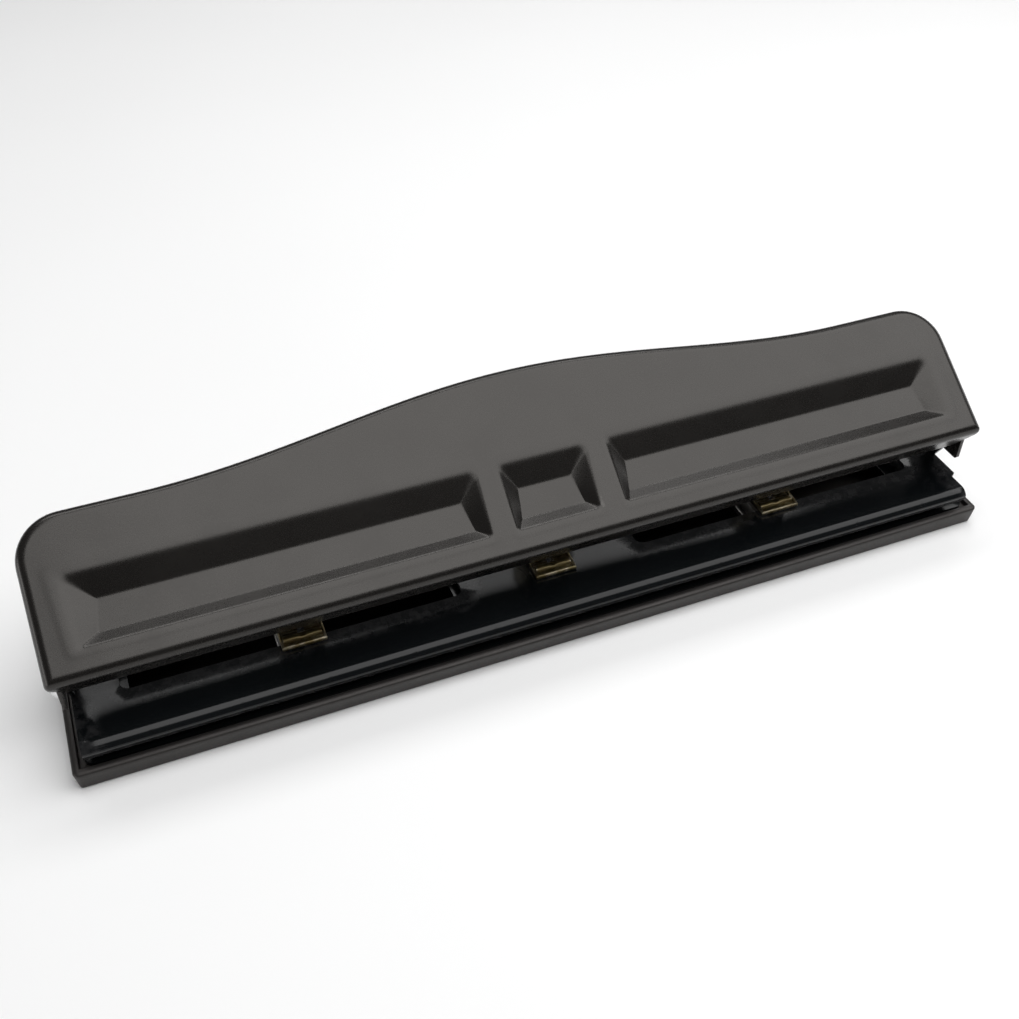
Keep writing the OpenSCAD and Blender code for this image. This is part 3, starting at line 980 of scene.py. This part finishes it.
def pan(x, half, low, high):
    """A bracket: pan with a rounded lip and low walls, cheeks, and a bridge across their tops."""
    floor = low.z + BRACKET_T
    wall_top = low.z + PAN_H
    y0 = low.y
    lip = [(y0, low.z + 0.3), (y0 + 0.25, low.z), (6, low.z), (6, floor), (y0 + 1.5, floor),
           (y0 + 0.95, floor + 0.1), (y0 + 0.7, floor + 0.25), (y0 + 0.4, floor + 0.25), (y0 + 0.1, floor)]
    parts = [block(lip, x - half, x + half)]
    wall = [(y0 + 0.15, low.z + 0.1), (CHEEK_Y[0] + 1, low.z + 0.1), (CHEEK_Y[0] + 1, wall_top + 0.3),
            (CHEEK_Y[0], wall_top + 0.1), (y0 + 2.6, wall_top), (y0 + 0.3, floor + 0.25)]
    cheek = [(CHEEK_Y[0], low.z + 0.05), (CHEEK_Y[1], low.z + 0.05), (CHEEK_Y[1], high.z),
             (CHEEK_Y[0], high.z)]
    bridge = [(CHEEK_Y[0], high.z - 1), (CHEEK_Y[1], high.z - 1), (CHEEK_Y[1], high.z),
              (CHEEK_Y[0], high.z)]
    for side in (-1, 1):
        parts.append(block(wall, *sorted((x + side * half, x + side * (half - 0.65))), 0.12))
        parts.append(block(cheek, *sorted((x + side * half, x + side * (half - BRACKET_T))), 0.2))
    parts.append(block(bridge, x - half, x + half, 0.2))
    return join("pan", parts)


def latch_strip(x, half, low):
    """The locking strip: a round bead across the pan with a small pressed mark in its middle."""
    floor = low.z + BRACKET_T
    y0 = low.y
    width = half - 0.8
    radius = 1.25
    centre = (y0 + 3.2, floor - 0.35)
    sheet = Sheet()
    rings = []
    count = 28
    for i in range(count + 1):
        across = -width + 2 * width * i / count
        dent = 0.35 * math.exp(-(across / 0.7) ** 2)
        ring = []
        for k in range(13):
            a = math.radians(15 + 150 * k / 12)
            r = radius - dent * math.sin(a) ** 4
            ring.append((x + across, centre[0] - r * math.cos(a), centre[1] + r * math.sin(a)))
        ring += [(x + across, y0 + 5.2, floor + 0.25), (x + across, y0 + 5.2, floor - 0.02),
                 (x + across, y0 + 1.9, floor - 0.02)]
        rings.append(ring)
    sheet.rings(rings)
    sheet.cap(rings[0])
    sheet.cap(rings[-1])
    return sheet.piece("latch", MATERIALS["yellow_zinc"])


def make_spring(name, x):
    """A return spring with closed end turns."""
    low, high = box_mm(f"{name}_spring")
    wire = 0.4
    radius = (high.x - low.x) / 2 - wire
    travel = high.z - low.z - 2 * wire
    steps = 240
    around = 10
    rings = []
    for i in range(steps + 1):
        turn = 2 * math.pi * SPRING_TURNS * i / steps
        rise = low.z + wire + travel * eased((i / steps - 0.1) / 0.8, 0.12, 0.12)
        ring = []
        for k in range(around):
            b = 2 * math.pi * k / around
            r = radius + wire * math.cos(b)
            ring.append((x + r * math.cos(turn), PIN_Y + r * math.sin(turn), rise + wire * math.sin(b)))
        rings.append(ring)
    sheet = Sheet()
    sheet.rings(rings)
    sheet.cap(rings[0])
    sheet.cap(rings[-1])
    spring = sheet.piece(f"{name}_coil", MATERIALS["spring_steel"])
    shade(spring, 50)
    body = "frame" if name == "centre" else f"{name}_head"
    finish_piece(spring, body, "spring_steel", f"{name}_spring")
    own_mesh(spring)


# ---------- CAD nodes that stay ----------

def dress_cad_nodes():
    """Gives every CAD node that still shows its material, and softens its edges."""
    slots = {row["node"]: row["material_slot"] for row in frame["record"]["subparts"]}
    for name, obj in frame["nodes"].items():
        if obj.hide_render:
            continue
        obj.data.materials.clear()
        obj.data.materials.append(MATERIALS[slots[name]])
        obj.data.shade_smooth()
        weld_mod = obj.modifiers.new("weld", "WELD")
        weld_mod.merge_threshold = 0.003 * MM
        soften(obj, 0.12, 2, 40)
        obj.modifiers["soft_edges"].harden_normals = True


# ---------- camera, light and floor ----------

CAMERA_AT = (-98.35, -227.6, 244.9)
CAMERA_TURN = 21.95
CAMERA_DOWN = 41.99
CAMERA_ROLL = 0.25
CAMERA_LENS = 42.45


def make_camera():
    """The camera at the angle that the punch is shown from."""
    data = bpy.data.cameras.new("camera")
    data.lens = CAMERA_LENS
    data.sensor_width = 36
    data.clip_start = 0.01
    data.clip_end = 20
    camera = bpy.data.objects.new("camera", data)
    turn = Matrix.Rotation(math.radians(-CAMERA_TURN), 4, "Z")
    tip = Matrix.Rotation(math.radians(90 - CAMERA_DOWN), 4, "X")
    roll = Matrix.Rotation(math.radians(CAMERA_ROLL), 4, "Z")
    camera.matrix_world = Matrix.Translation(Vector(CAMERA_AT) * MM) @ turn @ tip @ roll
    bpy.context.scene.collection.objects.link(camera)
    bpy.context.scene.camera = camera


def soft_light(name, at, target, size, power, along=(1, 0, 0)):
    """A rectangular soft light that faces a point, its first side along an axis; in metres."""
    data = bpy.data.lights.new(name, "AREA")
    data.shape = "RECTANGLE"
    data.size, data.size_y = size
    data.energy = power
    light = bpy.data.objects.new(name, data)
    away = (Vector(at) - Vector(target)).normalized()
    side = (Vector(along) - away * away.dot(Vector(along))).normalized()
    turn = Matrix((side, away.cross(side), away)).transposed().to_4x4()
    light.matrix_world = Matrix.Translation(at) @ turn
    bpy.context.scene.collection.objects.link(light)


def make_studio():
    """A pale floor and world, and soft lights above, behind and at both ends."""
    mesh = bpy.data.meshes.new("floor")
    reach = 6
    corners = [(-reach, -reach, 0), (reach, -reach, 0), (reach, reach, 0), (-reach, reach, 0)]
    mesh.from_pydata(corners, [], [(0, 1, 2, 3)])
    floor = add_object("floor", mesh)
    n = Nodes("floor")
    tone = n.spread(n.noise(3, 2), 0.3, 0.7)
    mesh.materials.append(n.finish(n.mix(tone, (0.9, 0.9, 0.9), (0.93, 0.93, 0.93)),
                                   n.spread(tone, 0, 1, 0.8, 0.9)))
    world = bpy.data.worlds.new("world")
    world.use_nodes = True
    background = world.node_tree.nodes["Background"]
    background.inputs[0].default_value = (1, 1, 1, 1)
    background.inputs[1].default_value = 0.1
    bpy.context.scene.world = world
    soft_light("overhead", (0.33, -0.13, 0.8), (0.22, -0.02, 0), (1.2, 0.86), 9)
    soft_light("back", (0.1, 0.64, 0.92), (0, 0, 0), (1.16, 0.27), 3.9)
    soft_light("right", (1.1, 0.1, 0.15), (0, 0, 0.03), (0.9, 0.24), 0.8, (0, 1, 0))
    soft_light("left", (-1.1, -0.1, 0.2), (0, 0, 0.03), (1.1, 0.34), 2.6, (0, 1, 0))


make_camera()
make_studio()
make_lever()
make_guide()
make_base()
make_pivot_pins()
make_tray()
for head, place in HEADS.items():
    make_head(head, place)
    make_spring(head, place)
dress_cad_nodes()
bpy.context.scene.view_settings.view_transform = "Standard"
